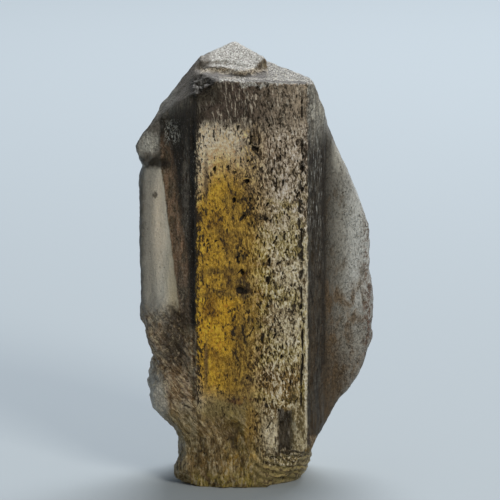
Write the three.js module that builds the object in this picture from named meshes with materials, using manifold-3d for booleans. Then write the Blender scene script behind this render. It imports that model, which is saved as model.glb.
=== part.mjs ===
// A natural barite crystal, about 50 mm tall, standing on the break where it came off its rock.
// One stout main crystal carries three parallel growths that are grown into it: a blade on its
// right, a wing low on its left and a beak high on its left. A thin growth layer caps the top, the
// lower end is lumpy and chipped, and the faces are etched with pits and furrows.
// All lengths are millimetres. +Z is up along the crystal, -Y is the broad front face and +X is
// the right. The finished crystal is moved so that the origin is under its middle, where it stands.
import * as THREE from 'three';
import { ImprovedNoise } from 'three/addons/math/ImprovedNoise.js';
import { mergeVertices } from 'three/addons/utils/BufferGeometryUtils.js';
import Module from 'manifold-3d';

const wasm = await Module();
wasm.setup();

// Driving dimensions
const FRONT = -8.5; // depth of the broad front face
const BACK = 8.3; // depth of the back face
const LEFT_EDGE = -6.1; // the front face's left edge
const RIGHT_EDGE = 6.3; // the front face's right edge
const FRONT_TOP = 45.7; // height of the front face's top edge
const FOOT = -1.15; // height of the flat break that the crystal stands on
const GABLE = 38; // rise of the steep top faces, close to the 39 degrees of barite's prism faces
const STOCK_LOW = -3; // every prism is drawn longer than the crystal and then cut
const STOCK_HIGH = 54;

// ---------------------------------------------------------------- solids and faces

// A closed three.js geometry as a solid that can be joined and cut.
function solidOf(geometry) {
  const bare = geometry.clone();
  bare.deleteAttribute('normal');
  bare.deleteAttribute('uv');
  const merged = mergeVertices(bare, 1e-4);
  const vertProperties = new Float32Array(merged.attributes.position.array);
  return new wasm.Manifold(
    new wasm.Mesh({ numProp: 3, vertProperties, triVerts: new Uint32Array(merged.index.array) }),
  );
}

// An upright prism on a plan outline of [x, y] corners.
function prism(plan) {
  const shape = new THREE.Shape(plan.map(([x, y]) => new THREE.Vector2(x, y)));
  const bar = new THREE.ExtrudeGeometry(shape, { depth: STOCK_HIGH - STOCK_LOW, bevelEnabled: false });
  return solidOf(bar.translate(0, 0, STOCK_LOW));
}

// A crystal face through a point. Its outward direction is a compass angle round the crystal, with
// 0 to the front, 90 to the right and 180 to the back, and a rise above the level.
function face(compass, rise, at) {
  const [turn, up] = [compass, rise].map(THREE.MathUtils.degToRad);
  const out = new THREE.Vector3(
    Math.sin(turn) * Math.cos(up),
    -Math.cos(turn) * Math.cos(up),
    Math.sin(up),
  );
  return { out, at: new THREE.Vector3(...at) };
}

// A face through three points, with the side that points away from the crystal's middle outside.
function faceThrough(a, b, c) {
  const plane = new THREE.Plane().setFromCoplanarPoints(
    ...[a, b, c].map((p) => new THREE.Vector3(...p)),
  );
  const middle = new THREE.Vector3(0, 0, (STOCK_LOW + STOCK_HIGH) / 2);
  if (plane.distanceToPoint(middle) > 0) plane.negate();
  return { out: plane.normal, at: new THREE.Vector3(...a) };
}

// The faces that are seen edge-on along an outline of [x, z] corners, walked clockwise as seen from
// the front at one depth. Each lean turns its face towards the back, in degrees.
function outlineFaces(corners, depth, leans) {
  return leans.map((lean, i) => {
    const [x1, z1] = corners[i];
    const [x2, z2] = corners[i + 1];
    const tilt = THREE.MathUtils.degToRad(lean);
    const out = new THREE.Vector3(z1 - z2, 0, x2 - x1).normalize().multiplyScalar(Math.cos(tilt));
    out.y = Math.sin(tilt);
    return { out, at: new THREE.Vector3(x1, depth, z1) };
  });
}

// Cuts away all that lies outside the faces.
function cutTo(solid, faces) {
  return faces.reduce(
    (rest, { out, at }) => rest.trimByPlane([-out.x, -out.y, -out.z], -out.dot(at)),
    solid,
  );
}

// ---------------------------------------------------------------- the grown crystals

// Faces that several of the crystals share. The two left gables meet in the edge that slopes down
// to the left from the cap.
const leftGable = face(-71, GABLE, [-5.9, -2, 47.6]);
const backLeftGable = face(-109, GABLE, [-5.9, -2, 47.6]);
const rightShoulder = outlineFaces([[6.9, 45.6], [10.3, 37.4]], -6, [6])[0];
const rightBackSlope = face(118, 35, [6, -4, 45.9]);
const backSlope = face(186, 62, [0, 6.6, 47.4]);
const top = face(20, 83.5, [0, FRONT, FRONT_TOP]);

function mainCrystal() {
  const plan = [
    [LEFT_EDGE, FRONT],
    [RIGHT_EDGE, FRONT],
    [8.4, -6],
    [9, -1],
    [7.8, 4.6],
    [4.2, BACK],
    [0.4, BACK],
    [0.1, BACK - 0.6], // a growth step down the back
    [-5.2, BACK - 0.6],
    [-9.3, 4.4],
    [-10.4, -0.5],
    [-10.4, -3.6],
    [-8.3, -6.2],
  ];
  const nick = faceThrough([-3.8, FRONT, FRONT_TOP + 0.1], [LEFT_EDGE, FRONT, 44.5], [-5.7, -3, 47]);
  return cutTo(prism(plan), [
    leftGable,
    backLeftGable,
    nick,
    rightShoulder,
    rightBackSlope,
    top,
    backSlope,
    face(-40, -78, [0, FRONT, 4]), // the breaks at the lower end
    face(-90, -39, [-8.3, 0, 6.1]),
    face(90, -26, [8.3, 0, 5.9]),
  ]);
}

// The layer of later growth that caps the back and left of the top, with a scalloped front edge.
function cap() {
  const plan = [
    [-9, -2.6],
    [-5.9, -3.1],
    [-4.4, -3.2],
    [-3.1, -2.9],
    [-2.2, -3.3],
    [-1.2, -3.9],
    [-0.2, -4.1],
    [0.7, -3.7],
    [1.8, -2.2],
    [1.5, 1],
    [0.9, 8],
    [-9, 8],
  ];
  return cutTo(prism(plan), [
    leftGable,
    backLeftGable,
    backSlope,
    face(0, 71.5, [-3, -4.4, 46.95]), // the pale slope that faces the front
    face(-108, 64, [-1.75, 2, 49.1]),
    face(112, 49, [-1.75, 2, 49.1]),
    face(0, -89, [0, 0, 44]),
  ]);
}

// The lip of the cap: its front edge is a low shelf over the terrace that swells forward into one
// rounded tongue. The top of the lip is flatter than the slope behind it.
function lip() {
  const plan = [
    [-5.4, -3],
    [-4.9, -3.9],
    [-3.9, -4.3],
    [-2.9, -4.4],
    [-2.2, -5.1],
    [-1.7, -5.9],
    [-1, -6.2],
    [-0.3, -5.9],
    [0.3, -5.1],
    [0.8, -4],
    [1.4, -2.9],
    [1.8, -2.2],
    [1.3, -0.5],
    [-5, -0.5],
  ];
  return cutTo(prism(plan), [leftGable, face(0, 86, [-1, -6, 46.75]), face(0, -89, [0, 0, 44])]);
}

// The blade on the right: a flat crystal with a curved, etched outer rim.
function rightBlade() {
  const plan = [
    [5, -7],
    [8.3, -5.6],
    [9.7, -4.3],
    [14.2, -2.2],
    [14.2, 2.2],
    [10.6, 6.4],
    [5, 7.6],
  ];
  const rim = [
    [10.3, 37.4],
    [11.5, 33.5],
    [12.9, 30],
    [13.5, 24.6],
    [13.7, 19.4],
    [13.6, 15],
    [12.9, 13],
    [8.5, 6.1],
  ];
  return cutTo(prism(plan), [
    rightShoulder,
    rightBackSlope,
    backSlope,
    top,
    ...outlineFaces(rim, 0, [2, -3, 3, -2, 2, -4, 3]),
    face(140, -38, [9, 5, 9]), // the break under the back of the blade
    face(10, -80, [0, 0, 3.5]),
  ]);
}

// The wing low on the left: its smooth front face leans, so its seam with the main crystal slants.
function leftWing() {
  const plan = [
    [-6.5, -8.4],
    [-12.5, -7],
    [-12.5, 2.4],
    [-10.2, 5.4],
    [-6.5, 6.4],
  ];
  const seamTop = [-10.4, -3.6, 40.5];
  const seamLow = [-8, -6.6, 19];
  const rim = [
    [-10.2, 12.6],
    [-12.2, 18.9],
    [-12.5, 34],
    [-11.8, 35.5],
    [-9.6, 38.2],
  ];
  return cutTo(prism(plan), [
    faceThrough(seamTop, seamLow, [-12.5, -4.3, 27]),
    ...outlineFaces(rim, -3, [-4, 0, 0, -6]),
    face(-160, -40, [-9, 5, 19]),
    face(0, -90, [0, 0, 14]),
    leftGable,
    backLeftGable,
  ]);
}

// The beak high on the left: the end of a crystal behind, which overhangs the wing.
function beak() {
  const plan = [
    [-8.6, -5.4],
    [-10.4, -4.6],
    [-13.1, -3.6],
    [-13.1, 2.2],
    [-10, 6],
    [-8.6, 6.2],
  ];
  const rim = [
    [-10.3, 36.8],
    [-11.8, 35.3],
    [-12.9, 36.9],
    [-13.1, 37.8],
    [-10.3, 41.8],
  ];
  return cutTo(prism(plan), [
    ...outlineFaces(rim, -3, [-14, -6, 0, 6]),
    face(200, 58, [-9, 5, 42]),
    leftGable,
    backLeftGable,
  ]);
}

// ---------------------------------------------------------------- the lumpy lower end

const RING_SIDES = 24;
const SQUARENESS = 0.5; // below 1 the rings fill out towards a rounded rectangle

// A closed body through level rings, listed from the lowest up. Each ring gives its height and how
// far it reaches to the left, right, front and back.
function ringBody(rings) {
  const fill = (value) => Math.sign(value) * Math.abs(value) ** SQUARENESS;
  const points = [];
  for (const [z, left, right, front, back] of rings) {
    for (let side = 0; side < RING_SIDES; side += 1) {
      const turn = (2 * Math.PI * side) / RING_SIDES;
      points.push(
        (left + right) / 2 + ((right - left) / 2) * fill(Math.cos(turn)),
        (front + back) / 2 + ((back - front) / 2) * fill(Math.sin(turn)),
        z,
      );
    }
  }
  const index = [];
  for (let ring = 0; ring + 1 < rings.length; ring += 1) {
    for (let side = 0; side < RING_SIDES; side += 1) {
      const a = ring * RING_SIDES + side;
      const b = ring * RING_SIDES + ((side + 1) % RING_SIDES);
      index.push(a, b, b + RING_SIDES, a, b + RING_SIDES, a + RING_SIDES);
    }
  }
  const last = (rings.length - 1) * RING_SIDES;
  for (let side = 1; side + 1 < RING_SIDES; side += 1) {
    index.push(0, side + 1, side, last, last + side, last + side + 1);
  }
  const shell = new THREE.BufferGeometry()
    .setAttribute('position', new THREE.Float32BufferAttribute(points, 3))
    .setIndex(index);
  return solidOf(shell);
}

// The root where the crystal broke off its rock. The break rises to the right.
function root() {
  const rings = [
    [FOOT, -7.7, 5.9, -8.1, 6.5],
    [0.2, -8.6, 6.4, -8.4, 7],
    [1.5, -8.4, 6.8, -8.45, 7.4],
    [2.8, -8.1, 7.1, -8.45, 7.7],
    [4.3, -8.1, 7.7, -8.4, 7.8],
    [5.6, -8.2, 8.1, -8.4, 8],
    [7, -8.6, 8.2, -8.2, 8.1],
    [8.4, -8.6, 8.2, -7.6, 7.8],
    [10, -8, 7, -6, 6.6],
  ];
  return cutTo(ringBody(rings), outlineFaces([[6.9, 1.5], [1.6, -0.7]], FRONT, [-24]));
}

// The rough mass that the wing runs down into, with a waist over the bulge at its lower end.
function leftMass() {
  return ringBody([
    [2.4, -7.4, -5, -7.6, 4.8],
    [4.8, -8.5, -4.8, -8.3, 4.6],
    [6.1, -9.8, -4.8, -8.4, 4.4],
    [7.6, -11.1, -4.8, -8.2, 4.2],
    [8.9, -11.5, -4.8, -7.9, 4],
    [10.1, -11.45, -5, -7.5, 3.8],
    [11.4, -11.2, -5.4, -7.1, 3.4],
    [12.7, -10.6, -5.6, -6.7, 3],
    [14.1, -10.8, -5.8, -6.6, 3.2],
    [15.8, -11.1, -6, -6.4, 3.2],
    [17.4, -11.5, -6, -6.3, 3],
    [19, -11.7, -6, -5.9, 2.6],
    [20.6, -11.6, -6, -5.3, 1.8],
  ]);
}

// Lumps on the rough mass and round the foot: centre, half sizes and turn about Y in degrees.
const LUMPS = [
  { at: [-9.7, -5.2, 19.6], size: [1.2, 1.5, 1.8], turn: 24 },
  { at: [-9.6, -5.6, 16], size: [1.2, 1.7, 2.8], turn: -14 },
  { at: [-8.2, -6.5, 9.6], size: [2.2, 1.8, 3.8], turn: -26 },
  { at: [-6.2, -7.4, 7], size: [1.5, 1.6, 3.4], turn: -28 },
  { at: [-7, -6.2, 0.8], size: [1.8, 2.5, 1.9], turn: 0 },
  { at: [-4.4, -7.5, 4.6], size: [2.2, 1.4, 2.8], turn: 20 },
  { at: [0.5, -7.5, 1.2], size: [3.4, 1.4, 1.8], turn: -6 },
  { at: [4.2, -7.2, 2], size: [2.6, 1.6, 1.3], turn: -20 },
  { at: [-9, 2.6, 12], size: [2, 3, 4], turn: 10 },
  { at: [3.6, 6, 8.5], size: [2.4, 2.2, 4], turn: -8 },
];

function lump({ at, size, turn }) {
  const ball = new THREE.IcosahedronGeometry(1, 1)
    .scale(...size)
    .rotateY(THREE.MathUtils.degToRad(turn))
    .translate(...at);
  return solidOf(ball);
}

// ---------------------------------------------------------------- the worn and broken surface

const FINEST = 1.35; // edge length of the facets where the surface is roughest

// How rough the surface is at a point, from 0 on the grown faces to 1 on the breaks.
function roughness(p) {
  const { smoothstep } = THREE.MathUtils;
  const footTop = 6.3 - 0.36 * p.x; // the break rises to the left
  const foot = 1 - smoothstep(p.z, footTop - 3, footTop);
  const mass = smoothstep(-p.x, 6.4, 8.2) * (1 - smoothstep(p.z, 18, 21.5));
  const bladeRim = 0.5 * smoothstep(p.x, 12.2, 13.2);
  const wingRim = 0.35 * smoothstep(-p.x, 11.7, 12.3) * (1 - smoothstep(p.z, 33, 35));
  return Math.max(foot, mass, bladeRim, wingRim);
}

// Splits the edges that are too long for the roughness where they lie, until none is left.
function refine({ points, triangles }, finest) {
  const edgeKey = (a, b) => (a < b ? a * 1e6 + b : b * 1e6 + a);
  let list = triangles;
  for (let pass = 0; pass < 9; pass += 1) {
    const middles = new Map();
    const middleOf = (a, b) => {
      const key = edgeKey(a, b);
      if (!middles.has(key)) {
        const middle = points[a].clone().add(points[b]).multiplyScalar(0.5);
        const rough = Math.max(...[points[a], points[b], middle].map(roughness));
        const long = rough > 0.03 && points[a].distanceTo(points[b]) > finest / Math.sqrt(rough);
        middles.set(key, long ? points.push(middle) - 1 : -1);
      }
      return middles.get(key);
    };
    list = list.flatMap((triangle) => splitTriangle(triangle, middleOf, points));
    if ([...middles.values()].every((middle) => middle < 0)) break;
  }
  return { points, triangles: list };
}

// One triangle as one to four, depending on which of its edges have a new middle point.
function splitTriangle([a, b, c], middleOf, points) {
  const [ab, bc, ca] = [middleOf(a, b), middleOf(b, c), middleOf(c, a)];
  const count = [ab, bc, ca].filter((middle) => middle >= 0).length;
  if (count === 0) return [[a, b, c]];
  if (count === 3) return [[a, ab, ca], [ab, b, bc], [ca, bc, c], [ab, bc, ca]];
  if (count === 1) {
    if (ab >= 0) return [[a, ab, c], [ab, b, c]];
    if (bc >= 0) return [[b, bc, a], [bc, c, a]];
    return [[c, ca, b], [ca, a, b]];
  }
  // Turned so that the edge from r to p stays whole; pq and qr have the new points.
  const turned = ca < 0 ? [a, b, c, ab, bc] : ab < 0 ? [b, c, a, bc, ca] : [c, a, b, ca, ab];
  const [p, q, r, pq, qr] = turned;
  const crossFromR = points[pq].distanceTo(points[r]) < points[qr].distanceTo(points[p]);
  const rest = crossFromR ? [[p, pq, r], [pq, qr, r]] : [[p, pq, qr], [p, qr, r]];
  return [[pq, q, qr], ...rest];
}

const noise = new ImprovedNoise();

// How far the surface stands out or in at a point: ribs that run down the rough mass and turn
// straight down at the foot, over wide swells and small bumps.
function relief(p) {
  const acrossRibs = p.x + 0.9 * Math.max(p.z - 5, 0);
  const ribs = noise.noise(acrossRibs * 0.8 + 7, p.y * 0.5, p.z * 0.16);
  const swells = noise.noise(p.x * 0.28, p.y * 0.28 + 5, p.z * 0.28);
  const bumps = noise.noise(p.x * 0.9 + 3, p.y * 0.9, p.z * 0.75);
  return 0.5 * ribs + 0.5 * swells + 0.35 * bumps;
}

// Moves each point towards the middle of its neighbours, by its roughness, so that what has grown
// together blends there and stays sharp on the faces.
function blend(points, triangles, rounds) {
  const near = points.map(() => new Set());
  for (const [a, b, c] of triangles) {
    near[a].add(b).add(c);
    near[b].add(c).add(a);
    near[c].add(a).add(b);
  }
  const weights = points.map((point) => 0.6 * roughness(point));
  let now = points;
  for (let round = 0; round < rounds; round += 1) {
    const before = now;
    now = before.map((point, i) => {
      const middle = new THREE.Vector3();
      near[i].forEach((j) => middle.add(before[j]));
      return point.clone().lerp(middle.divideScalar(near[i].size), weights[i]);
    });
  }
  return now;
}

function weathered(solid) {
  const { vertProperties, triVerts } = solid.getMesh();
  const corners = [];
  for (let i = 0; i < vertProperties.length; i += 3) {
    corners.push(new THREE.Vector3().fromArray(vertProperties, i));
  }
  const coarse = [];
  for (let i = 0; i < triVerts.length; i += 3) coarse.push([...triVerts.slice(i, i + 3)]);
  const { points, triangles } = refine({ points: corners, triangles: coarse }, FINEST);
  const blended = blend(points, triangles, 3);
  const geometry = new THREE.BufferGeometry().setFromPoints(blended).setIndex(triangles.flat());
  geometry.computeVertexNormals();
  const { position, normal } = geometry.attributes;
  blended.forEach((point, i) => {
    const out = new THREE.Vector3().fromBufferAttribute(normal, i);
    const moved = point.clone().addScaledVector(out, roughness(point) * relief(point));
    moved.z = points[i].z < FOOT + 0.01 ? FOOT : Math.max(moved.z, FOOT); // the foot stays flat
    position.setXYZ(i, ...moved.toArray());
  });
  geometry.deleteAttribute('normal');
  return geometry;
}

// ---------------------------------------------------------------- pits, furrows and splits

// Etch pits on the front face: x, z, half width, half height.
const FRONT_PITS = [
  [0.6, 39.1, 0.35, 1],
  [0, 38.3, 0.5, 0.6],
  [-0.4, 37.2, 0.35, 0.9],
  [-2.1, 36.4, 0.4, 0.6],
  [-1.7, 35.5, 0.6, 0.45],
  [-4.1, 35.9, 0.3, 0.6],
  [-0.6, 34.5, 0.55, 0.45],
  [0.8, 33.5, 0.4, 0.7],
  [-1.7, 32.4, 0.35, 0.8],
  [0.1, 31.5, 0.4, 0.9],
  [-0.8, 30.1, 0.35, 1],
  [-5, 27.9, 0.35, 0.5],
  [1.3, 27.9, 0.4, 0.8],
  [1.5, 24.7, 0.4, 1],
  [2.3, 23.2, 0.35, 0.7],
  [-1.2, 22, 1, 0.8],
  [-0.7, 20.5, 0.45, 0.9],
  [0.4, 17.6, 0.4, 0.8],
  [5.4, 36.3, 0.35, 0.8],
  [3.4, 30.5, 0.35, 0.7],
  [3.7, 14.2, 0.4, 0.9],
  [-2.4, 5.9, 0.9, 0.8],
];

// Pits along the blade's rim and on the wing: x, y, z, half size.
const SIDE_PITS = [
  [12.1, -3.2, 33.2, 0.45],
  [12.7, -2.9, 31, 0.4],
  [13.4, -2.2, 28.4, 0.5],
  [13.5, -2.5, 25.7, 0.4],
  [13.7, -2, 22.6, 0.5],
  [13.7, -2.4, 19.8, 0.4],
  [13.6, -2.2, 17.1, 0.5],
  [-10.9, -4.5, 32.4, 0.3],
  [-12.3, -4.4, 29.8, 0.35],
  [-12.4, -4.3, 25.2, 0.3],
];

function frontPit([x, z, halfWidth, halfHeight], index) {
  const slant = ((index % 5) - 2) * 7;
  const cutter = new THREE.OctahedronGeometry(1)
    .scale(halfWidth, 0.6 * halfWidth + 0.2, halfHeight)
    .rotateY(THREE.MathUtils.degToRad(slant))
    .translate(x, FRONT, z);
  return solidOf(cutter);
}

function sidePit([x, y, z, half]) {
  return solidOf(new THREE.OctahedronGeometry(half).scale(1, 1, 1.4).translate(x, y, z));
}

// Upright furrows with a V section: x, y, lowest z, highest z, half width.
const FURROWS = [
  [5.75, FRONT, 7, 31, 0.22], // inside the front face's right edge
  [6.85, -7.85, 5, 33, 0.26], // beside it on the right bevel
  [-6.55, -8.05, 9, 40, 0.28], // beside the left edge
  [-9.5, -4.75, 22, 37, 0.24], // between the strips of the left bevel
];

function furrow([x, y, low, high, halfWidth]) {
  const groove = new THREE.OctahedronGeometry(1)
    .scale(halfWidth, halfWidth, (high - low) / 2)
    .translate(x, y, (low + high) / 2);
  return solidOf(groove);
}

// The dark notch low on the front, where slivers split out side by side: x, lowest z, highest z and
// half width of each.
const SPLITS = [
  [3.35, 3.7, 8.3, 0.5],
  [3.95, 3.2, 9.3, 0.65],
  [4.6, 3.9, 8.6, 0.5],
];
const SPLIT_DEPTH = 0.85;

function split([x, low, high, halfWidth]) {
  const sliver = new THREE.OctahedronGeometry(1)
    .scale(halfWidth, SPLIT_DEPTH, (high - low) / 2)
    .rotateY(THREE.MathUtils.degToRad(3))
    .translate(x, FRONT, (low + high) / 2);
  return solidOf(sliver);
}

// ---------------------------------------------------------------- the finished crystal

const growths = [cap(), lip(), rightBlade(), leftWing(), beak(), root(), leftMass(), ...LUMPS.map(lump)];
const grown = growths.reduce((all, one) => all.add(one), mainCrystal());
const cutters = [
  ...FRONT_PITS.map(frontPit),
  ...SIDE_PITS.map(sidePit),
  ...FURROWS.map(furrow),
  ...SPLITS.map(split),
];
const etched = cutters.reduce((rest, cutter) => rest.subtract(cutter), grown);

const crystalGeometry = weathered(etched);
crystalGeometry.computeBoundingBox();
const { min, max } = crystalGeometry.boundingBox;
crystalGeometry.translate(-(min.x + max.x) / 2, -(min.y + max.y) / 2, -min.z);

const skin = new THREE.MeshStandardMaterial({ color: 0x8a7648, roughness: 0.45, metalness: 0 });
const crystal = new THREE.Mesh(crystalGeometry, skin);
crystal.name = 'barite_crystal';
const part = new THREE.Group();
part.add(crystal);
export default part;
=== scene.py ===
# %% [markdown]
# # A golden barite crystal
# The real thing is one crystal group: a tall blocky prism under a roof of sloping faces, with a flat wing
# grown into its left side, a curved blade into its right side and a lumpy, broken foot. The mineral is a
# clear honey colour inside a skin that is etched, frosted and stained. The exact solid comes from CAD and
# keeps its size and place here. This lesson gives it its fine surface, its colours and its light.

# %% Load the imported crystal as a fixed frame
import math

import bmesh
import bpy
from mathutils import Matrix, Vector, noise


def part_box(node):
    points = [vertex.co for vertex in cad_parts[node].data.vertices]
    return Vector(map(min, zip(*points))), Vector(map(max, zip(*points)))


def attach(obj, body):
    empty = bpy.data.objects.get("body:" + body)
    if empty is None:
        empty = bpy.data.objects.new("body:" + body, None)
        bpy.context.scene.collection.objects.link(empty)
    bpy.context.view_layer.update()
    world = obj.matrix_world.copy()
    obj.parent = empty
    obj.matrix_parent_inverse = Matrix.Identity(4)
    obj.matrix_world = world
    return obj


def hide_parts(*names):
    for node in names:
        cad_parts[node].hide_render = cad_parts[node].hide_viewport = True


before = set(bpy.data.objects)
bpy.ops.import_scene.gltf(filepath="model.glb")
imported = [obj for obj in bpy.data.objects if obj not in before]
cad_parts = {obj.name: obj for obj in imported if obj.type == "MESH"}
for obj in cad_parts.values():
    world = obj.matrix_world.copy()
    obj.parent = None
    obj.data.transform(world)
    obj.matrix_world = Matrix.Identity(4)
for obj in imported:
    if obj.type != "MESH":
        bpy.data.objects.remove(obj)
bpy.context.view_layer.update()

NODE = "barite_crystal"
DESIGN_HEIGHT = 50.25
low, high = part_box(NODE)
mm = (high.z - low.z) / DESIGN_HEIGHT
print("one millimetre of the places below is", round(mm * 1000, 4), "mm on this crystal")

# %% [markdown]
# ## Reading the big faces from the solid
# Every place of the finish is given in millimetres, seen from the front, with the foot at zero height. The
# front face's depth is read from the solid instead of typed in: it is the mean depth of all the area that
# looks straight forward.

# %% Measure the depth of the front face
STRAIGHT = 0.995


def mean_depth_facing_front(mesh):
    """The mean depth, in millimetres, of the area that looks straight at the viewer."""
    area = 0.0
    total = 0.0
    for polygon in mesh.polygons:
        if polygon.normal.y < -STRAIGHT:
            area += polygon.area
            total += polygon.area * polygon.center.y
    return total / area / mm


FRONT_Y = mean_depth_facing_front(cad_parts[NODE].data)
FRONT_LEFT = -6.46
FRONT_RIGHT = 5.94
FRONT_TOP = 46.85
print("the front face lies at depth", round(FRONT_Y, 2), "mm")

# %% [markdown]
# ## The camera
# A small specimen is looked at from far away with a long lens, a little from above, so its upright edges
# stay almost parallel. The lens is worked out from how large one millimetre should be in the picture.

# %% Place the camera
SENSOR = 36
PICTURE = 500
PIXELS_PER_MM = 8.86
DISTANCE = 400 * mm
ELEVATION = math.radians(10)
AIM = Vector((-0.41, -8.4, 27.75))

to_camera = Vector((0, -math.cos(ELEVATION), math.sin(ELEVATION)))
camera = bpy.data.objects.new("camera", bpy.data.cameras.new("camera"))
bpy.context.scene.collection.objects.link(camera)
bpy.context.scene.camera = camera
camera.location = AIM * mm + to_camera * DISTANCE
camera.rotation_euler = (-to_camera).to_track_quat("-Z", "Y").to_euler()
camera.data.sensor_width = SENSOR
camera.data.lens = SENSOR * DISTANCE / (PICTURE / PIXELS_PER_MM * mm)
camera.data.clip_start = 0.01
print("the lens is", round(camera.data.lens, 1), "mm")

# %% [markdown]
# ## An even, fine skin
# The solid has a few thousand large triangles, which is right for flat crystal faces but too coarse for
# etch marks. A voxel remesh turns a merged copy into small even squares and rounds every edge by a hair,
# as wear does. Subdividing would keep the long thin triangles, so the remesh is the better start.

# %% Remesh a merged copy
VOXEL = 0.3
MERGE_DISTANCE = 1e-7


def mesh_with_modifiers(piece):
    """The piece's mesh with its modifiers worked in."""
    evaluated = piece.evaluated_get(bpy.context.evaluated_depsgraph_get())
    return bpy.data.meshes.new_from_object(evaluated)


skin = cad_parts[NODE].data.copy()
bm = bmesh.new()
bm.from_mesh(skin)
bmesh.ops.remove_doubles(bm, verts=bm.verts, dist=MERGE_DISTANCE)
bm.to_mesh(skin)
bm.free()

crystal = bpy.data.objects.new("golden_barite", skin)
bpy.context.scene.collection.objects.link(crystal)
remesh = crystal.modifiers.new("even_skin", "REMESH")
remesh.mode = "VOXEL"
remesh.voxel_size = VOXEL * mm
remesh.use_smooth_shade = True
even_skin = mesh_with_modifiers(crystal)
crystal.modifiers.clear()
crystal.data = even_skin
crystal.data.materials.clear()
print("the even skin has", len(even_skin.polygons), "faces")

# %% [markdown]
# ## Where the surface is rough
# The grown faces are flat and the broken ones are lumpy. One function says how broken the surface is at a
# place, and the steps after it lean on that. It follows the foot, the rough mass on the lower left and the
# outer rims of the wing and the blade.

# %% How broken the surface is at a place
BREAK_HEIGHT = 7.3
BREAK_SLOPE = 0.36
ROOF_HEIGHT = 45.5


def ease(start, end, value):
    """0 before start, 1 after end, with a smooth rise between them."""
    share = min(max((value - start) / (end - start), 0.0), 1.0)
    return share * share * (3 - 2 * share)


def brokenness(p):
    """0 on the grown faces and 1 on the breaks, for a place in millimetres."""
    break_height = BREAK_HEIGHT - BREAK_SLOPE * p.x
    foot = 1 - ease(break_height - 3, break_height, p.z)
    mass = ease(6.6, 8.4, -p.x) * (1 - ease(19, 22, p.z))
    blade_rim = 0.5 * ease(11.9, 12.9, p.x)
    wing_rim = 0.35 * ease(12.2, 12.8, -p.x)
    return max(foot, mass, blade_rim, wing_rim)


print("in the middle the break ends", BREAK_HEIGHT, "mm above the floor, and lower to the right")

# %% Which layer of the surface a place is in


def on_front(p):
    """1 in the layer under the big front face, 0 elsewhere."""
    past_left = ease(FRONT_LEFT - 0.1, FRONT_LEFT + 0.1, p.x)
    past_right = ease(FRONT_RIGHT - 0.1, FRONT_RIGHT + 0.1, p.x)
    behind = ease(FRONT_Y + 1.0, FRONT_Y + 1.3, p.y)
    above = ease(FRONT_TOP, FRONT_TOP + 0.2, p.z)
    return past_left * (1 - past_right) * (1 - behind) * (1 - above)


def on_back(p):
    """1 in the layer under the broad back face, 0 elsewhere."""
    return ease(-FRONT_Y - 1.3, -FRONT_Y - 1.0, p.y)


def finely_marked(p):
    """True where small marks need small squares: the front, the roof's front and the rough mass."""
    near_front = p.y < FRONT_Y + 1.9
    roof_front = p.z > ROOF_HEIGHT and p.y < -1
    rough_mass = p.x < -6 and p.z < 21 and p.y < -2
    return near_front or roof_front or rough_mass


front_points = sum(on_front(vert.co / mm) > 0.5 for vert in crystal.data.vertices)
print("points on the front face of the even skin:", front_points)

# %% Round the lumps and give the most marked faces finer squares
SMOOTHING_ROUNDS = 8
LEVEL_FOOT = 0.3

bm = bmesh.new()
bm.from_mesh(crystal.data)
broken = [v for v in bm.verts if brokenness(v.co / mm) > 0.5 and v.co.z > LEVEL_FOOT * mm]
for _ in range(SMOOTHING_ROUNDS):
    bmesh.ops.smooth_vert(bm, verts=broken, factor=0.5, use_axis_x=True, use_axis_y=True, use_axis_z=True)
marked_edges = [e for e in bm.edges if all(finely_marked(v.co / mm) for v in e.verts)]
bmesh.ops.subdivide_edges(bm, edges=marked_edges, cuts=1, use_grid_fill=True)
bmesh.ops.triangulate(bm, faces=[f for f in bm.faces if len(f.verts) > 4])
bm.normal_update()
print("the skin now has", len(bm.faces), "faces, with", len(broken), "points on the rounded lumps")

# %% [markdown]
# ## The relief of the etched faces
# Water has eaten short upright dashes and pits into the broad faces, and the breaks show ribs and
# shell-like ripples. Each of these is a small function that says how far the surface stands out (or in) at
# a place. Moving the real points, instead of only bending the light, keeps the marks in the mesh itself.

# %% Pits that stand alone
SLANT = 0.14


def wave(p, across, deep, up, shift=0.0):
    """Smooth, slightly leaning noise from -1 to 1, with a fineness in cycles per millimetre each way."""
    leaning = p.x - SLANT * p.z
    return noise.noise(Vector((leaning * across + shift, p.y * deep - shift, p.z * up + 2 * shift)))


# The place across and up, the half width and the half height of each pit
LONE_PITS = [
    (-2.2, 33.4, 0.15, 0.3),
    (-1.2, 31.5, 0.14, 0.35),
    (-0.4, 33.5, 0.12, 0.3),
    (-5.2, 28.8, 0.12, 0.3),
    (-1.8, 26.6, 0.14, 0.3),
    (-1.3, 25.2, 0.28, 0.3),
    (-0.8, 35.6, 0.2, 0.16),
    (-4.4, 37.0, 0.1, 0.25),
    (-2.9, 37.1, 0.14, 0.3),
    (-0.3, 40.3, 0.16, 0.45),
    (0.2, 39.2, 0.3, 0.3),
    (5.4, 37.1, 0.2, 0.5),
    (1.8, 26.4, 0.14, 0.4),
    (1.6, 24.3, 0.16, 0.4),
]


def lone_pits(p):
    """1 inside the deeper pits that stand alone on the front face, with ragged outlines."""
    inside = 0.0
    for at_x, at_z, half_width, half_height in LONE_PITS:
        away = math.hypot((p.x - at_x) / half_width, (p.z - at_z) / half_height)
        if away < 2:
            inside = max(inside, 1 - ease(0.5, 1.3, away + 1.1 * wave(p, 3.1, 3.1, 2.2, 43)))
    return inside


print("pits that stand alone on the front face:", len(LONE_PITS))

# %% Etch marks on the grown faces


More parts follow.
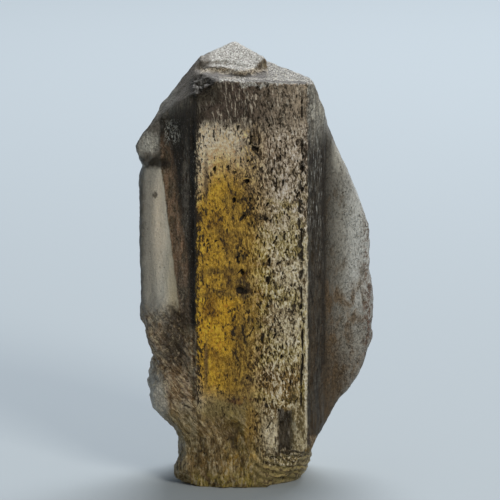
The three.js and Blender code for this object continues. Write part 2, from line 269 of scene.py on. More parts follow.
def small_pits(p):
    """The depth of scattered etch pits, which crowd towards the right of the front face."""
    crowding = 0.2 * ease(-3.5, 1.5, p.x) - 0.12 + 0.12 * wave(p, 0.3, 0.3, 0.2, 5)
    return max(0.0, wave(p, 2.3, 2.3, 1.2, 11) - 0.42 + crowding)


def etched(p):
    """Upright dashes, and pits that go deeper. The clear left of the front face has the faintest dashes."""
    strength = 0.02 + 0.035 * ease(-3.2, 0.5, p.x) * (1 - ease(6.5, 8, p.x))
    dashes = wave(p, 3.0, 3.0, 1.2, 3) + 0.6 * wave(p, 1.2, 1.2, 0.4, 23)
    return strength * dashes - 0.6 * small_pits(p)


def grown_side(p):
    """Upright striations and soft dents on the other grown faces."""
    striations = 0.07 * wave(p, 1.5, 1.5, 0.1, 7) + 0.04 * wave(p, 3.0, 3.0, 0.3, 19)
    return striations + 0.06 * wave(p, 0.6, 0.6, 0.4, 2) + 0.04 * wave(p, 2.5, 2.5, 1.6, 9)


heights = [etched(Vector((FRONT_RIGHT / 2, FRONT_Y, up))) for up in range(10, 40)]
print("etching on the right of the front:", round(min(heights), 2), "to", round(max(heights), 2), "mm")

# %% Grooves along the edges of the front face
# The place across, the half width and the depth of each groove
EDGE_GROOVES = [
    (FRONT_RIGHT - 0.5, 0.22, 0.28),
    (FRONT_RIGHT + 0.65, 0.25, 0.22),
    (FRONT_LEFT - 0.45, 0.3, 0.3),
    (FRONT_LEFT - 1.5, 0.25, 0.15),
]


def edge_grooves(p):
    """Broken upright grooves beside the two long edges of the front face."""
    sway = 0.15 * wave(p, 0.1, 0.1, 0.25, 31)
    depth = 0.0
    for across, half_width, deepest in EDGE_GROOVES:
        closeness = 1 - ease(0.0, half_width, abs(p.x - across - sway))
        broken_off = 0.25 * ease(18, 26, p.z)
        depth += deepest * closeness * ease(-0.4, 0.1, wave(p, 0.2, 0.2, 0.5, across) - broken_off)
    return depth * ease(8, 11, p.z) * (1 - ease(44, 46, p.z)) * (1 - ease(FRONT_Y + 2, FRONT_Y + 3, p.y))


print("grooves beside the front face:", len(EDGE_GROOVES))

# %% Ribs and ripples on the breaks
RIB_SLOPE = 0.9
RIB_BEND = 6.0
BLOW = (5.5, 5.5)
FLATTENED = 1.6


def ribs(p):
    """Ribs that run down to the right over the rough mass and turn straight down at the foot."""
    across = p.x + RIB_SLOPE * max(p.z - RIB_BEND, 0)
    coarse = noise.noise(Vector((across * 1.3 + 7, p.y * 0.7, p.z * 0.25)))
    fine = noise.noise(Vector((across * 3.2 + 1, p.y * 1.4, p.z * 0.5)))
    return coarse + 0.5 * fine


def ripples(p):
    """Shell-like ripples round a blow at the right of the foot."""
    from_blow = math.hypot(p.x - BLOW[0], FLATTENED * (p.z - BLOW[1]))
    return math.sin(5.2 * from_blow + 2.5 * wave(p, 0.5, 0.5, 0.5, 4))


print("the ribs bend", RIB_BEND, "mm above the floor, and the ripples spread from", BLOW)

# %% The crack, the scar and the ledge
CRACK_CENTRE = (-8.3, 7.8)
CRACK_RADIUS = 2.03
CRACK_HALF_WIDTH = 0.16
SCAR = (-2.3, 6.2, 1.2, 1.9)
LEDGE_HEIGHT = 4.0


def crack(p):
    """A short curved crack low on the left."""
    across = p.x - CRACK_CENTRE[0]
    up = p.z - CRACK_CENTRE[1]
    near_arc = 1 - ease(0, CRACK_HALF_WIDTH, abs(math.hypot(across, up) - CRACK_RADIUS))
    return near_arc * ease(-0.2, 0.3, across) * ease(0.0, 0.5, up)


def hollows_of_the_foot(p):
    """The broken scar in the middle and the step under the ledge on the right."""
    scar_x, scar_z, reach_x, reach_z = SCAR
    from_scar = math.hypot((p.x - scar_x) / reach_x, (p.z - scar_z) / reach_z)
    scar = 1 - ease(0.6, 1.1, from_scar + 0.3 * wave(p, 0.9, 0.9, 0.9, 37))
    ledge_edge = LEDGE_HEIGHT + 0.35 * wave(p, 0.8, 0.8, 0.2, 41)
    step = ease(1.6, 2.6, p.x) * (1 - ease(ledge_edge - 0.35, ledge_edge, p.z))
    return 0.5 * scar + 0.45 * step


def broken_surface(p):
    """The breaks: ribs on the left, ripples low on the right, over small bumps."""
    bumps = 0.13 * wave(p, 1.5, 1.5, 1.2, 13) + 0.09 * wave(p, 3.2, 3.2, 2.4, 17)
    shell_share = ease(-1.5, 1, p.x) * (1 - ease(4.2, 5.6, p.z))
    return bumps + 0.22 * ribs(p) * (1 - shell_share) + 0.12 * ripples(p) * shell_share - 0.5 * crack(p)


print("the ledge of the foot is", LEDGE_HEIGHT, "mm high, and the crack is an arc of", CRACK_RADIUS, "mm")

# %% The chipped corner


def chipped_corner(p):
    """The rough floor of the chip at the left end of the front edge."""
    across = ease(3.8, 5.2, -p.x) * (1 - ease(6.2, 7.2, -p.x))
    floor = across * ease(44.4, 45.8, p.z) * (1 - ease(46.6, 47.6, p.z)) * (1 - ease(-5.6, -4.0, p.y))
    return floor * (0.3 + 0.3 * noise.noise(p * 1.6) + 0.2 * noise.noise(p * 5.0))


chip_depth = chipped_corner(Vector((FRONT_LEFT + 0.8, FRONT_Y + 1, 46.2)))
print("the middle of the chip is", round(chip_depth, 2), "mm deep")

# %% What rounding took from the rims


def regrown(p):
    """What rounding took from the outer rims and the lumps, in millimetres."""
    wing = 0.28 * ease(11.5, 12.5, -p.x) * ease(20, 22, p.z) * (1 - ease(36.5, 38, p.z))
    bulge = 0.32 * ease(8.5, 10, -p.x) * ease(8, 10, p.z) * (1 - ease(19, 21, p.z))
    low_blade = 1 - ease(19, 24, p.z)
    blade = (0.2 + 0.25 * low_blade) * ease(9, 11, p.x) * ease(8, 12, p.z) * (1 - ease(40, 44, p.z))
    return wing + bulge + blade


print("the blade's rim grows back by up to", round(regrown(Vector((12, 0, 15))), 2), "mm")

# %% [markdown]
# ## Moving the points
# Every point moves along its normal by the relief of the surface that it lies on. The crystal still has to
# stand flat, so the points at the floor stay where they are. The depth of pits and grooves is kept in the
# mesh as an attribute called hollow, the sharpness of outward edges in one called worn, and the roof faces
# that look up in one called roof. The material reads them: the hollows get dirt and painted shade, edges are
# rubbed pale and the roof is frosted.

# %% Put the relief together and move the points
FADE_START = 0.02
FADE_END = 0.35


def relief(p):
    """How far the surface stands out at a place, in millimetres."""
    broken_share = brokenness(p)
    etched_share = max(on_front(p), on_back(p))
    grown = etched_share * etched(p) + (1 - etched_share) * grown_side(p) - edge_grooves(p)
    facing_share = 1 - ease(FRONT_Y + 1.5, FRONT_Y + 3, p.y)
    surface = (1 - broken_share) * grown + broken_share * broken_surface(p)
    front_pits = 0.45 * on_front(p) * lone_pits(p)
    carved = front_pits + chipped_corner(p) + facing_share * hollows_of_the_foot(p)
    return surface + regrown(p) - carved


moves = []
roof = []
for vert in bm.verts:
    p = vert.co / mm
    looks_up = ease(0.55, 0.75, vert.normal.z)
    roof.append(looks_up * ease(ROOF_HEIGHT, ROOF_HEIGHT + 1, p.z) * ease(-5.2, -4.6, p.x))
    moves.append(vert.normal * (relief(p) * ease(FADE_START, FADE_END, p.z) * mm))
for vert, move in zip(bm.verts, moves):
    vert.co += move
bm.normal_update()
print("the farthest a point moved is", round(max(move.length for move in moves) / mm, 2), "mm")

# %% Keep the hollows, the worn edges and the roof in the mesh
HOLLOW_START = 0.012
WORN_START = 0.016


def sharpness(vert):
    """How far a point stands out of its neighbours, in millimetres: above 0 on ridges, below 0 in hollows."""
    neighbours = [edge.other_vert(vert).co for edge in vert.link_edges]
    middle = sum(neighbours, Vector()) / len(neighbours)
    return (vert.co - middle).dot(vert.normal) / mm


hollow = []
worn = []
for vert in bm.verts:
    p = vert.co / mm
    stands_out = sharpness(vert)
    pit_depth = on_front(p) * ease(8, 11, p.z) * max(0.0, p.y - FRONT_Y - 0.1)
    hollow.append(min(1.0, 2.2 * pit_depth + 12 * max(0.0, -stands_out - HOLLOW_START)))
    broad_face = max(on_front(p), on_back(p))
    worn.append((1 - broad_face) * min(1.0, 25 * max(0.0, stands_out - WORN_START)))
bm.to_mesh(crystal.data)
bm.free()
for name, values in (("hollow", hollow), ("worn", worn), ("roof", roof)):
    attribute = crystal.data.attributes.new(name, "FLOAT", "POINT")
    attribute.data.foreach_set("value", values)
crystal.data.shade_smooth()
print("hollow up to", round(max(hollow), 2), "and worn up to", round(max(worn), 2))

# %% [markdown]
# ## Colours and how nodes are wired
# The palette names each stain and zone once. Colours are written as a painter reads them from a screen and
# turned into the linear values that the shader works with.

# %% The palette


def paint(code):
    """The linear colour of a screen colour such as 96731e."""
    channels = [int(code[i : i + 2], 16) / 255 for i in (0, 2, 4)]
    return (*[c / 12.92 if c <= 0.04045 else ((c + 0.055) / 1.055) ** 2.4 for c in channels], 1)


HONEY = paint("caa030")
DEEP_HONEY = paint("dcac28")
LIGHT_HONEY = paint("dcb750")
AMBER_BROWN = paint("73571f")
OCHRE = paint("947430")
CREAM = paint("e0d6c4")
PALE = paint("f4ecd2")
FROST = paint("e4dace")
SAND = paint("c2b594")
TAUPE = paint("9a8c7a")
ROSE_GREY = paint("b6a79a")
OLIVE = paint("8a7e4e")
LIGHT_OLIVE = paint("b0a050")
MOSS = paint("86703e")
TAN = paint("a07c60")
EARTH = paint("70593e")
UMBER = paint("4d3e2a")
RUST = paint("59361e")
PLUM = paint("3a2c2a")
SMOKE = paint("1c1612")
SOOT = paint("080605")
ASH = paint("cccfcd")
SILVER = paint("c2c1b8")
STEEL = paint("8f8e88")
GREY_BROWN = paint("6a6660")
DARK_STEEL = paint("4a4843")
SLATE = paint("2a2622")
print("honey in linear values:", [round(channel, 3) for channel in HONEY[:3]])

# %% Small helpers for nodes


def add_node(tree, kind, inputs=None, **settings):
    """A node with its settings. An input is a value, or the output of another node to link to it."""
    made = tree.nodes.new(kind)
    for name, value in settings.items():
        setattr(made, name, value)
    for socket, value in (inputs or {}).items():
        if isinstance(value, bpy.types.NodeSocket):
            tree.links.new(value, made.inputs[socket])
        else:
            made.inputs[socket].default_value = value
    return made


def tree_of(values):
    """The node tree that the values belong to, which each socket knows as its id_data."""
    return next(value.id_data for value in values if isinstance(value, bpy.types.NodeSocket))


def calculate(operation, *values):
    """The result of one step of arithmetic."""
    inputs = dict(enumerate(values))
    return add_node(tree_of(values), "ShaderNodeMath", inputs, operation=operation).outputs[0]


def calculate_vector(operation, *values, output=0):
    """The result of one step of vector arithmetic."""
    inputs = dict(enumerate(values))
    return add_node(tree_of(values), "ShaderNodeVectorMath", inputs, operation=operation).outputs[output]


def rise(value, start, end):
    """0 before start, 1 after end, smooth between them."""
    inputs = {"Value": value, "From Min": start, "From Max": end}
    return add_node(value.id_data, "ShaderNodeMapRange", inputs, interpolation_type="SMOOTHSTEP").outputs[0]


def fall(value, start, end):
    """1 before start, 0 after end, smooth between them."""
    made = rise(value, start, end).node
    made.inputs["To Min"].default_value = 1.0
    made.inputs["To Max"].default_value = 0.0
    return made.outputs[0]


print("helpers: add_node, calculate, calculate_vector, rise and fall")

# %% [markdown]
# ## Node groups for the finish
# Four effects repeat all over the crystal. A patch is a soft oval mark, used for stains and for painted
# shadows and highlights. A panel is a soft-edged block, for zones that end along an edge. Marks are short
# dashes that cover more or less of a face. Etching is an uneven tone: fine and coarse noise with small flat
# flakes in it. Each is built once as a node group and then placed wherever it is needed with its own numbers.

# %% Build the patch group


def new_group(name, inputs, outputs):
    """An empty node group, its input sockets and its output sockets."""
    group = bpy.data.node_groups.new(name, "ShaderNodeTree")
    for label, kind in inputs.items():
        group.interface.new_socket(label, in_out="INPUT", socket_type="NodeSocket" + kind)
    for label, kind in outputs.items():
        group.interface.new_socket(label, in_out="OUTPUT", socket_type="NodeSocket" + kind)
    return group, group.nodes.new("NodeGroupInput").outputs, group.nodes.new("NodeGroupOutput").inputs


sockets = {"Place": "Vector", "Centre": "Vector", "Reach": "Vector", "Fringe": "Float"}
patch_group, given, result = new_group("patch", sockets, {"Mask": "Float"})
offset = calculate_vector("SUBTRACT", given["Place"], given["Centre"])
shrunk = calculate_vector("DIVIDE", offset, given["Reach"])
from_middle = calculate_vector("LENGTH", shrunk, output="Value")
inner = calculate("SUBTRACT", 1.0, given["Fringe"])
outer = calculate("ADD", 1.0, given["Fringe"])
patch_group.links.new(fall(from_middle, inner, outer), result["Mask"])
print("a patch takes", len(patch_group.nodes), "nodes")

# %% Build the panel group
sockets = {"Place": "Vector", "Lowest": "Vector", "Highest": "Vector", "Fringe": "Float"}
panel_group, given, result = new_group("panel", sockets, {"Mask": "Float"})
past_low = calculate_vector("SUBTRACT", given["Place"], given["Lowest"])
past_high = calculate_vector("SUBTRACT", given["Highest"], given["Place"])
least = calculate_vector("MINIMUM", past_low, past_high)
sides = add_node(panel_group, "ShaderNodeSeparateXYZ", {0: least}).outputs
nearest = calculate("MINIMUM", calculate("MINIMUM", sides[0], sides[1]), sides[2])
half_fringe = calculate("MULTIPLY", given["Fringe"], 0.5)
minus_half = calculate("MULTIPLY", given["Fringe"], -0.5)
panel_group.links.new(rise(nearest, minus_half, half_fringe), result["Mask"])
print("a panel takes", len(panel_group.nodes), "nodes")

# %% Build the marks group
MARK_SOFTNESS = 0.05


def speckle(place, fineness, detail=2.0, roughness=0.5):
    """Noise from 0 to 1, with its own fineness, in cycles per millimetre, along each direction."""
    stretched = calculate_vector("MULTIPLY", place, fineness)
    inputs = {"Vector": stretched, "Scale": 1.0, "Detail": detail, "Roughness": roughness}
    return add_node(place.id_data, "ShaderNodeTexNoise", inputs).outputs[0]


sockets = {"Place": "Vector", "Fineness": "Vector", "Threshold": "Float"}
marks_group, given, result = new_group("marks", sockets, {"Mask": "Float"})
grains = speckle(given["Place"], given["Fineness"], detail=3.0, roughness=0.6)
start = calculate("SUBTRACT", given["Threshold"], MARK_SOFTNESS)
end = calculate("ADD", given["Threshold"], MARK_SOFTNESS)
marks_group.links.new(rise(grains, start, end), result["Mask"])
print("marks take", len(marks_group.nodes), "nodes")

# %% Build the etching group
FINE_SHARE = 0.65
COARSE_SHARE = 0.35
COARSENESS = (0.4, 0.4, 0.4)
FLAKE_FINENESS = 0.6

sockets = {"Place": "Vector", "Fineness": "Vector", "Flake Contrast": "Float"}
etching_group, given, result = new_group("etching", sockets, {"Tone": "Float"})
fine_tone = speckle(given["Place"], given["Fineness"], detail=1.0)
coarse_place = calculate_vector("MULTIPLY", given["Place"], COARSENESS)
coarse_tone = speckle(coarse_place, given["Fineness"], detail=1.0)
flake_place = calculate_vector("MULTIPLY", given["Place"], given["Fineness"])
flakes = add_node(etching_group, "ShaderNodeTexVoronoi", {"Vector": flake_place, "Scale": FLAKE_FINENESS})
flake_tone = add_node(etching_group, "ShaderNodeSeparateColor", {0: flakes.outputs["Color"]}).outputs[0]
flake_offset = calculate("SUBTRACT", flake_tone, 0.5)
flake_shift = calculate("MULTIPLY", flake_offset, given["Flake Contrast"])
coarse_share = calculate("MULTIPLY", coarse_tone, COARSE_SHARE)
mixed = calculate("MULTIPLY_ADD", fine_tone, FINE_SHARE, coarse_share)
etching_group.links.new(calculate("ADD", mixed, flake_shift), result["Tone"])
print("etching takes", len(etching_group.nodes), "nodes")

# %% [markdown]
# ## The material's coordinates
# The material starts from the object's own coordinates in millimetres. Noises bend them a little, so that
# no patch has a clean edge: the neat ones stay close to the crystal's edges, and the ragged ones wander.

# %% The material, its coordinates and its masks
stone = bpy.data.materials.new("golden_barite")
stone.use_nodes = True
tree = stone.node_tree
shader = tree.nodes["Principled BSDF"]
position = add_node(tree, "ShaderNodeTexCoord").outputs["Object"]
place = calculate_vector("MULTIPLY", position, (1 / mm, 1 / mm, 1 / mm))


def bent(vector, fineness, strength):
    """The coordinates pushed about by noise, by up to about half the strength in each direction."""
    inputs = {"Vector": calculate_vector("MULTIPLY", vector, fineness), "Scale": 1.0, "Detail": 2.0}
    clouds = add_node(tree, "ShaderNodeTexNoise", inputs).outputs["Color"]
    centred = calculate_vector("SUBTRACT", clouds, (0.5, 0.5, 0.5))
    return calculate_vector("ADD", vector, calculate_vector("MULTIPLY", centred, strength))


ragged = bent(bent(place, (0.5, 0.5, 0.35), (1.6, 1.6, 2.4)), (3.2, 3.2, 1.6), (0.5, 0.5, 1.3))
neat = bent(place, (1.5, 1.5, 0.8), (0.3, 0.3, 0.8))
wobbling = bent(neat, (3.0, 3.0, 1.5), (0.9, 0, 0.3))
hollow_share, worn_share, roof_share = [
    add_node(tree, "ShaderNodeAttribute", attribute_name=name).outputs["Fac"]
    for name in ("hollow", "worn", "roof")
]
x, y, z = add_node(tree, "ShaderNodeSeparateXYZ", {0: neat}).outputs
ragged_z = add_node(tree, "ShaderNodeSeparateXYZ", {0: ragged}).outputs[2]
print("coordinates and masks:", len(tree.nodes), "nodes")

# %% [markdown]
# ## Grains, streaks and etch tones
# Four textures are shared by all the zones: broad and fine upright streaks, an even grain, and the etch tone
# of the crystal faces, which leans a little from the upright as the real marks do. The etch tone is low in
# the dark marks and high on the bright flakes between them, and a slow drift crowds the marks in places.

# %% Shared textures


def use_group(group, inputs, output="Mask"):
    """Places a node group in the material and gives its output."""
    return add_node(tree, "ShaderNodeGroup", inputs, node_tree=group).outputs[output]


def etching(fineness, flake_contrast, guide):
    """Uneven tones from 0, in the pits, to 1, on the bright flakes between them."""
    inputs = {"Place": guide, "Fineness": fineness, "Flake Contrast": flake_contrast}
    return use_group(etching_group, inputs, "Tone")


def report(zone):
    """Says how far the material has grown once a zone is done."""
    print(zone, "done:", len(tree.nodes), "nodes")


broad_streaks = speckle(ragged, (0.9, 0.9, 0.1))
fine_streaks = speckle(neat, (4.5, 4.5, 0.4), detail=3.0, roughness=0.6)
grain = speckle(place, (4.0, 4.0, 4.0), detail=4.0, roughness=0.7)
leaning = add_node(tree, "ShaderNodeMapping", {"Vector": neat, "Rotation": (0, SLANT, 0)}).outputs[0]
drift = calculate("SUBTRACT", speckle(ragged, (0.8, 0.8, 0.45), detail=3.0), 0.5)
etch_tone = etching((10.5, 10.5, 3.8), flake_contrast=0.34, guide=leaning)
tone = calculate("MULTIPLY_ADD", drift, 0.55, etch_tone)
report("shared textures")

# %% [markdown]
# ## The sides and the back
# Away from the front the skin is a dull brown-grey with upright streaks, frosted where it slopes near the
# top. The back is etched like the front, and the honey of the inside glimmers through in its middle. This
# zone, like all that follow, is painted in coats: first a ground colour, then one colour after another,
# each only where its masks let it lie, so every stain keeps a place and an edge of its own.

# %% The glimmer and the front half
EVERY_DEPTH = 1e4


def patch(at, reach, fringe=0.4, guide=ragged):
    """A soft oval mark at a place seen from the front, through the whole depth, for stains and painted light.
    """
    centre = (at[0], 0, at[1])
    size = (reach[0], EVERY_DEPTH, reach[1])
    return use_group(patch_group, {"Place": guide, "Centre": centre, "Reach": size, "Fringe": fringe})


glimmer = patch((0, 24), (5.5, 16), fringe=0.5)
on_front_half = fall(y, -3.0, -1.0)
report("glimmer")

# %% Sides and back


def layer(share, under, over, blend_type="MIX"):
    """One colour laid over another."""
    inputs = {0: share, 6: under, 7: over}
    return add_node(tree, "ShaderNodeMix", inputs, data_type="RGBA", blend_type=blend_type).outputs[2]


def both(*masks):
    """Where all the masks are. A plain number among them thins the rest."""
    result = masks[0]
    for mask in masks[1:]:
        result = calculate("MULTIPLY", result, mask)
    return result


def coated(colour, *coats):
    """A colour with coats laid over it in turn. A coat is a colour, then the masks that say where it lies."""
    for over, *masks in coats:
        colour = layer(both(*masks), colour, over)
    return colour


side = coated(
    DARK_STEEL,
    (EARTH, rise(broad_streaks, 0.35, 0.65)),
    (STEEL, rise(fine_streaks, 0.5, 0.7), 0.45),
    (OCHRE, glimmer, rise(y, 2, 5), 0.8),
    (STEEL, rise(y, -2, 1), rise(ragged_z, 36.5, 41), 0.8),
    (SAND, rise(tone, 0.52, 0.68), 0.4),
    (SMOKE, fall(tone, 0.34, 0.46), 0.75),
)
report("sides and back")

# %% [markdown]
# ## The left flank
# From left to right it has the smooth grey wing, which pales towards its slanting seam, a tan strip beside
# the seam and a nearly black slab that meets the front face in a deep groove. Above the wing juts the beak,
# grey with fine streaks, over a painted shadow. The pale inner part of the wing and its bright stripe are
# painted light, and the black of the slab and the groove is painted shade.

# %% The slanting seam and the pores of the wing
SEAM_FOOT = (-8.36, 20.15)
SEAM_SLOPE = 0.127


def past_slanting_line(foot, slope):
    """How far a place lies to the right of a line that leans to the left as it climbs."""
    leaned = calculate("MULTIPLY", calculate("SUBTRACT", z, foot[1]), slope)
    return calculate("ADD", calculate("SUBTRACT", x, foot[0]), leaned)


def marks(fineness, threshold, guide=place):
    """Short marks: a lower threshold leaves more of them."""
    return use_group(marks_group, {"Place": guide, "Fineness": fineness, "Threshold": threshold})


past_seam = past_slanting_line(SEAM_FOOT, SEAM_SLOPE)
pores = marks((5.0, 5.0, 3.0), 0.66)
report("seam and pores")

# %% The wing
# Painted light: the dark outer rim and pale inner part of the wing stand in for light bent and reflected
# inside it, and the pale stripe is a painted highlight.
wing_highlight = patch((-10.7, 30.5), (0.7, 5.5), fringe=0.8, guide=neat)
speck = patch((-11.2, 33.3), (0.28, 0.35), fringe=0.5)
wing_colour = coated(
    SLATE,
    (STEEL, rise(x, -13.1, -12.0)),
    (SILVER, rise(x, -11.7, -10.5)),
    (CREAM, wing_highlight),
    (SAND, fall(z, 22, 32), rise(x, -10.4, -9.0), 0.8),
    (STEEL, rise(broad_streaks, 0.4, 0.65), 0.35),
    (DARK_STEEL, pores, 0.6),
    (SMOKE, speck, 0.8),
)
on_wing = both(fall(past_seam, -0.15, 0.05), rise(ragged_z, 19.6, 21.6), fall(z, 38, 38.4))
side = layer(on_wing, side, wing_colour)
report("wing")

# %% The left bevel
FAR = 60.0


def panel(across, upward, deep=(-FAR, FAR), fringe=0.3, guide=neat):
    """A soft-edged block between two places across, up and deep."""
    lowest = (across[0], deep[0], upward[0])
    highest = (across[1], deep[1], upward[1])
    return use_group(panel_group, {"Place": guide, "Lowest": lowest, "Highest": highest, "Fringe": fringe})


bevel = panel((-FAR, FRONT_LEFT + 0.5), (8, 45), deep=(-FAR, -3), fringe=0.5)
bevel = both(bevel, rise(past_seam, -0.1, 0.15))
report("left bevel")

# %% The tan strip and the slab
SLAB_FOOT = (-7.2, 23.8)
SLAB_SLOPE = 0.148

past_slab_edge = past_slanting_line(SLAB_FOOT, SLAB_SLOPE)
tan_grain = speckle(ragged, (2.0, 2.0, 0.6), detail=3.0)
tan_colour = coated(
    UMBER,
    (TAN, rise(tan_grain, 0.38, 0.6)),
    (DARK_STEEL, fall(z, 22, 29), 0.7),
    (TAUPE, rise(grain, 0.45, 0.65), 0.5),
)
# Painted shade: the slab's near black ground. The grey-brown streak on it is a painted highlight.
slab_grain = speckle(neat, (4.0, 4.0, 1.3), detail=4.0, roughness=0.7)
slab_highlight = patch((-7.55, 34.5), (0.4, 6.5), fringe=0.6)
slab_colour = coated(
    SOOT,
    (UMBER, rise(slab_grain, 0.56, 0.86)),
    (GREY_BROWN, slab_highlight, rise(slab_grain, 0.4, 0.55), 0.9),
)
side = coated(
    side,
    (tan_colour, bevel, fall(z, 38, 43)),
    (slab_colour, bevel, rise(past_slab_edge, -0.4, 0.5), rise(z, 20, 24), 0.97),
    (layer(0.6, slab_colour, PLUM, "MULTIPLY"), bevel, rise(z, 37, 41)),
)
report("tan strip and slab")

# %% The groove and the small chip of the left bevel
# The groove is painted black: painted shade in the recess.
groove = panel((-7.3, FRONT_LEFT + 0.5), (7, 46), deep=(-FAR, -6.8), fringe=0.5, guide=wobbling)
# Painted glints: the silver grains on the chip and the steel specks on the bevel.
chip_glints = marks((5.0, 5.0, 2.6), 0.55, guide=ragged)
chip = patch((-9.2, 40.6), (0.9, 1.2), fringe=0.5)
bevel_glints = marks((8.0, 8.0, 4.0), 0.65)
side = coated(
    side,
    (SOOT, groove),
    (SILVER, chip_glints, chip, bevel, 0.9),
    (STEEL, bevel_glints, bevel, 0.8),
)
report("groove and chip")

# %% The beak
# A painted highlight on the beak.
beak_highlight = patch((-11.9, 39.3), (0.9, 1.3), fringe=0.5)
beak_colour = coated(
    STEEL,
    (GREY_BROWN, rise(x, -13.2, -12.0)),
    (SILVER, beak_highlight, 0.8),
    (SLATE, rise(fine_streaks, 0.5, 0.7), 0.4),
)
on_beak = panel((-FAR, -10.6), (37.6, 43.5))
# A painted shadow under the beak.
shadow_under_beak = patch((-11.3, 37.1), (1.9, 0.7), guide=neat)
side = coated(side, (beak_colour, on_beak), (SOOT, shadow_under_beak, on_front_half, 0.95))
report("beak")

# %% [markdown]
# ## The right flank
# A dark scratched bevel leads from the front face to a deep fold, and behind the fold rises the blade. The
# near black of the bevel and of the fold is painted shade. The blade is grey, silvery along its upper rim and
# stained brown further down, and rust sits in the pits of its rim.

# %% The blade
blotches = speckle(ragged, (0.7, 0.7, 0.35), detail=4.0, roughness=0.6)
blade_pits = marks((5.0, 5.0, 3.0), 0.6)
rust_marks = marks((2.2, 2.2, 1.4), 0.52, guide=ragged)
blade_colour = coated(
    DARK_STEEL,
    (STEEL, rise(x, 8.0, 10.4)),
    (ASH, rise(x, 9.6, 12.0), rise(z, 16, 25)),
    (SILVER, rise(z, 35, 38), rise(x, 8.6, 9.6)),
    (EARTH, fall(z, 21, 28), rise(blotches, 0.42, 0.62), fall(x, 12, 14), 0.7),
    (UMBER, rise(blotches, 0.55, 0.65), 0.5),
    (UMBER, fall(z, 12, 22), fall(x, 9.5, 12.5), 0.75),
    (SMOKE, blade_pits, rise(blotches, 0.42, 0.5), 0.7),
    (RUST, rust_marks, rise(x, 12.2, 13.0), 0.85),
)
on_blade = panel((7.9, FAR), (5, 44), fringe=0.4)
side = layer(on_blade, side, blade_colour)
report("blade")

# %% The right bevel and the fold
bevel_grain = speckle(neat, (3.5, 3.5, 0.6), detail=4.0, roughness=0.65)
scratches = marks((6.0, 6.0, 0.7), 0.62)
# The near black ground of the bevel is painted shade; its grain, streaks and scratches are its own.
bevel_colour = coated(
    SMOKE,
    (DARK_STEEL, rise(bevel_grain, 0.38, 0.62)),
    (UMBER, rise(broad_streaks, 0.45, 0.6), fall(z, 14, 34), 0.45),
    (ASH, scratches, rise(z, 22, 30), 0.6),
)
on_right_bevel = panel((FRONT_RIGHT, 8.0), (6, 43), deep=(-FAR, -2), fringe=0.4)
# The fold is darkened with painted shade.
fold = panel((7.7, 8.2), (14, 45), deep=(-FAR, -2), fringe=0.4)
side = coated(side, (bevel_colour, on_right_bevel), (SMOKE, fold, 0.8))
report("right bevel and fold")

# %% [markdown]
# ## The roof
# The shoulder on the right is silvery, and the steep gables on the left are dark with a pale rim and painted
# shade towards their lower right. The roof faces are frosted and grainy. The cap is the palest of them,
# and its lip hangs over a terrace that glitters black and white, with a painted shadow under the lip. The
# chipped corner at the left of the front edge is painted dark as the shade in it.

# %% Shoulder and gables
shoulder = panel((FRONT_RIGHT - 0.3, 8.6), (36, 47.5), deep=(-FAR, 0))
shoulder_colour = layer(rise(fine_streaks, 0.4, 0.62), STEEL, SILVER)
seam_flecks = marks((4.0, 4.0, 1.5), 0.5, guide=ragged)
broken_seam = panel((5.5, 6.6), (39, 46.6), deep=(-FAR, -5), fringe=0.5, guide=ragged)
gables = panel((-11.6, -4.6), (40, 50), fringe=0.8)
# The gables turn darker towards the lower right: painted shade.
gable_height = calculate("SUBTRACT", z, x)
gable_colour = coated(
    SLATE,
    (GREY_BROWN, rise(gable_height, 50.5, 53.0)),
    (SMOKE, rise(fine_streaks, 0.45, 0.62), 0.6),
    (STEEL, fall(x, -9.4, -8.2), rise(gable_height, 52, 54), 0.8),
)
side = coated(
    side,
    (shoulder_colour, shoulder, rise(ragged_z, 38.5, 43), fall(y, -3, 0), 0.85),
    (SMOKE, broken_seam, seam_flecks, 0.7),
    (gable_colour, gables, rise(ragged_z, 41.2, 44.2)),
)
report("shoulder and gables")

# %% Terrace and cap
glitter = speckle(place, (5.5, 5.5, 5.5), detail=3.0, roughness=0.7)
on_cap = panel((-6.8, 1.6), (47.7, FAR), fringe=0.2)
cap_colour = layer(rise(glitter, 0.42, 0.6), GREY_BROWN, ASH)
roof_colour = layer(rise(glitter, 0.48, 0.6), SMOKE, ASH)
roof_colour = layer(both(fall(x, -3, -1), 0.6), roof_colour, UMBER, "MULTIPLY")
roof_colour = coated(
    roof_colour,
    (ASH, rise(x, 1, 4), rise(glitter, 0.42, 0.54), 0.45),
    (PALE, rise(glitter, 0.58, 0.62), 0.9),
    (SMOKE, fall(x, -4.4, -2.4), fall(z, 47.5, 47.9), 0.9),
    (cap_colour, on_cap),
)
side = layer(roof_share, side, roof_colour)
report("terrace and cap")

# %% The lip and the chipped corner
lip_face = panel((-6.0, 1.6), (47.2, 47.8), deep=(-FAR, -2.4), fringe=0.2)
lip_colour = layer(rise(glitter, 0.4, 0.56), UMBER, CREAM)
# A painted shadow under the lip.
lip_shade = panel((-6.0, 1.5), (46.95, 47.4), deep=(-6.3, -2.6), fringe=0.25)
# The chipped corner is painted black as the shade in it.
chipped = patch((-5.5, 46.2), (1.9, 1.5), fringe=0.3)
side = coated(
    side,
    (lip_colour, lip_face, 0.8),
    (SOOT, lip_shade, 0.95),
    (SOOT, chipped, fall(y, -5.0, -4.0)),
)
report("lip and chipped corner")

# %% [markdown]
# ## The rough mass and the foot
# The breaks are earthy brown, with dark pits in the mass under the wing, and pale where the bulge and the
# lobe above it are rubbed. Fine dark and pale lines run down over the ribs. The foot is olive and lets some
# honey through, and curved lines spread from the blow that broke its right end.

